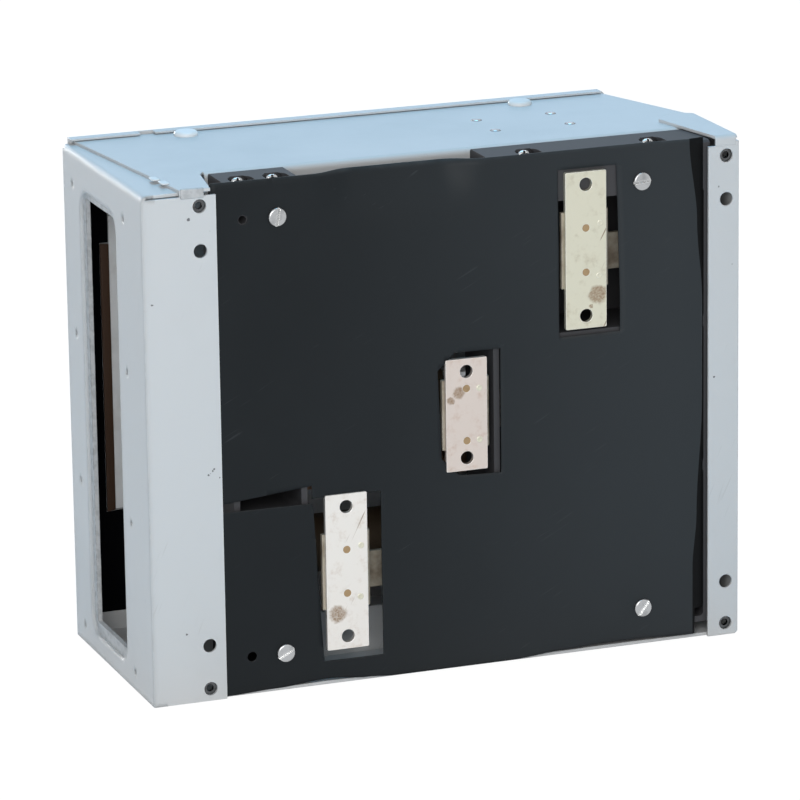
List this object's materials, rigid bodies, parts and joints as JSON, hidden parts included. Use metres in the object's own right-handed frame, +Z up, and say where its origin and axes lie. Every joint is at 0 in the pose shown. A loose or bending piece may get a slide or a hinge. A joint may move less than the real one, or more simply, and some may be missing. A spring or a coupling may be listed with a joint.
{
  "type": "fusible disconnect switch",
  "caption": "Panel-mounted fusible disconnect switch: sheet-steel case, diagonal rear bus straps, knife blades, cartridge fuses, hinged fuse door and throw handle.",
  "frame": {"origin": "middle of the case's underside", "axes": "+X towards the cable window, +Y towards the rear bus straps, +Z up"},
  "size_m": [0.402, 0.2229, 0.336],
  "materials": {
    "sheet_paint": "satin light bluish-grey enamel",
    "zinc_screw": "zinc plated",
    "plain_steel": "zinc plated sheet",
    "black_moulding": "matt thermoset",
    "black_sheet": "flexible insulating sheet",
    "fibre": "vulcanised fibre",
    "silver_plate": "silver plated copper",
    "copper": "bare copper",
    "fuse_body": "wound fibre tube",
    "grip": "black moulded grip",
    "lug_metal": "tin plated"
  },
  "bodies": {
    "case": {"arc_chutes": "fibre", "barrier_screws": "zinc_screw", "base_screws": "zinc_screw", "blade_hinge_a": "silver_plate", "blade_hinge_b": "silver_plate", "blade_hinge_c": "silver_plate", "blade_pivot_pins": "zinc_screw", "bottom_panel": "sheet_paint", "bus_strap_a": "silver_plate", "bus_strap_b": "silver_plate", "bus_strap_c": "silver_plate", "clinch_nuts": "zinc_screw", "cover_domes": "sheet_paint", "cover_hinge_leaves": "plain_steel", "crossbar_stop": "plain_steel", "front_cover": "sheet_paint", "fuse_a": "fuse_body", "fuse_b": "fuse_body", "fuse_c": "fuse_body", "handle_bezel": "black_moulding", "handle_bracket": "plain_steel", "handle_end_plate": "sheet_paint", "handle_shaft": "zinc_screw", "hinge_pins": "zinc_screw", "line_base": "black_moulding", "line_bracket_a": "copper", "line_bracket_b": "copper", "line_bracket_c": "copper", "line_fuse_clips": "silver_plate", "line_jaws": "silver_plate", "load_base": "black_moulding", "load_fuse_clips": "silver_plate", "load_lugs": "lug_metal", "lower_phase_barrier": "fibre", "lower_rail": "plain_steel", "lug_screws": "zinc_screw", "rear_barrier": "black_sheet", "roof_rivets": "sheet_paint", "strap_rivets": "copper", "top_corner_tab": "sheet_paint", "top_panel": "sheet_paint", "upper_phase_barrier": "fibre", "window_end_plate": "sheet_paint", "window_frame": "sheet_paint"},
    "handle": {"operating_handle": "plain_steel", "handle_grip": "grip"},
    "padlock_slide": {"padlock_tab": "plain_steel"},
    "switch_rotor": {"crossbar": "black_moulding", "crossbar_crank": "plain_steel", "knife_blade_a": "copper", "knife_blade_b": "copper", "knife_blade_c": "copper"},
    "link": {"drive_link": "plain_steel"},
    "door": {"fuse_door": "sheet_paint", "door_hinge_leaves": "plain_steel"},
    "latch": {"door_latch": "zinc_screw"},
    "button": {"defeat_button": "grip"}
  },
  "joints": [
    {"name": "handle_throw", "type": "hinge", "parent": "case", "child": "handle", "pos_m": [-0.092, -0.062, 0.216], "axis": [0, 0, 1], "range_deg": [0, 60]},
    {"name": "crossbar_swing", "type": "hinge", "parent": "case", "child": "switch_rotor", "pos_m": [-0.092, -0.004, 0.165], "axis": [0, 0, 1], "range_deg": [0, 60]},
    {"name": "link_turn", "type": "hinge", "parent": "handle", "child": "link", "pos_m": [-0.07641, -0.053, 0.2175], "axis": [0, 0, 1], "range_deg": [-60, 0]},
    {"name": "padlock_tab_slide", "type": "slide", "parent": "handle", "child": "padlock_slide", "axis": [0.866, -0.5, 0], "range_m": [0, 0.014]},
    {"name": "door_swing", "type": "hinge", "parent": "case", "child": "door", "pos_m": [0.185, -0.0893, 0.165], "axis": [0, 0, 1], "range_deg": [0, 120]},
    {"name": "latch_turn", "type": "hinge", "parent": "door", "child": "latch", "pos_m": [-0.027, -0.1, 0.165], "axis": [0, 1, 0], "range_deg": [0, 90]},
    {"name": "defeat_button_push", "type": "slide", "parent": "case", "child": "button", "axis": [0, 1, 0], "range_m": [0, 0.004], "stiffness_N_per_m": 300, "springref_m": -0.003}
  ],
  "couplings": [
    {"joint": "crossbar_swing", "follows": "handle_throw", "ratio": 1},
    {"joint": "link_turn", "follows": "handle_throw", "ratio": -1}
  ]
}
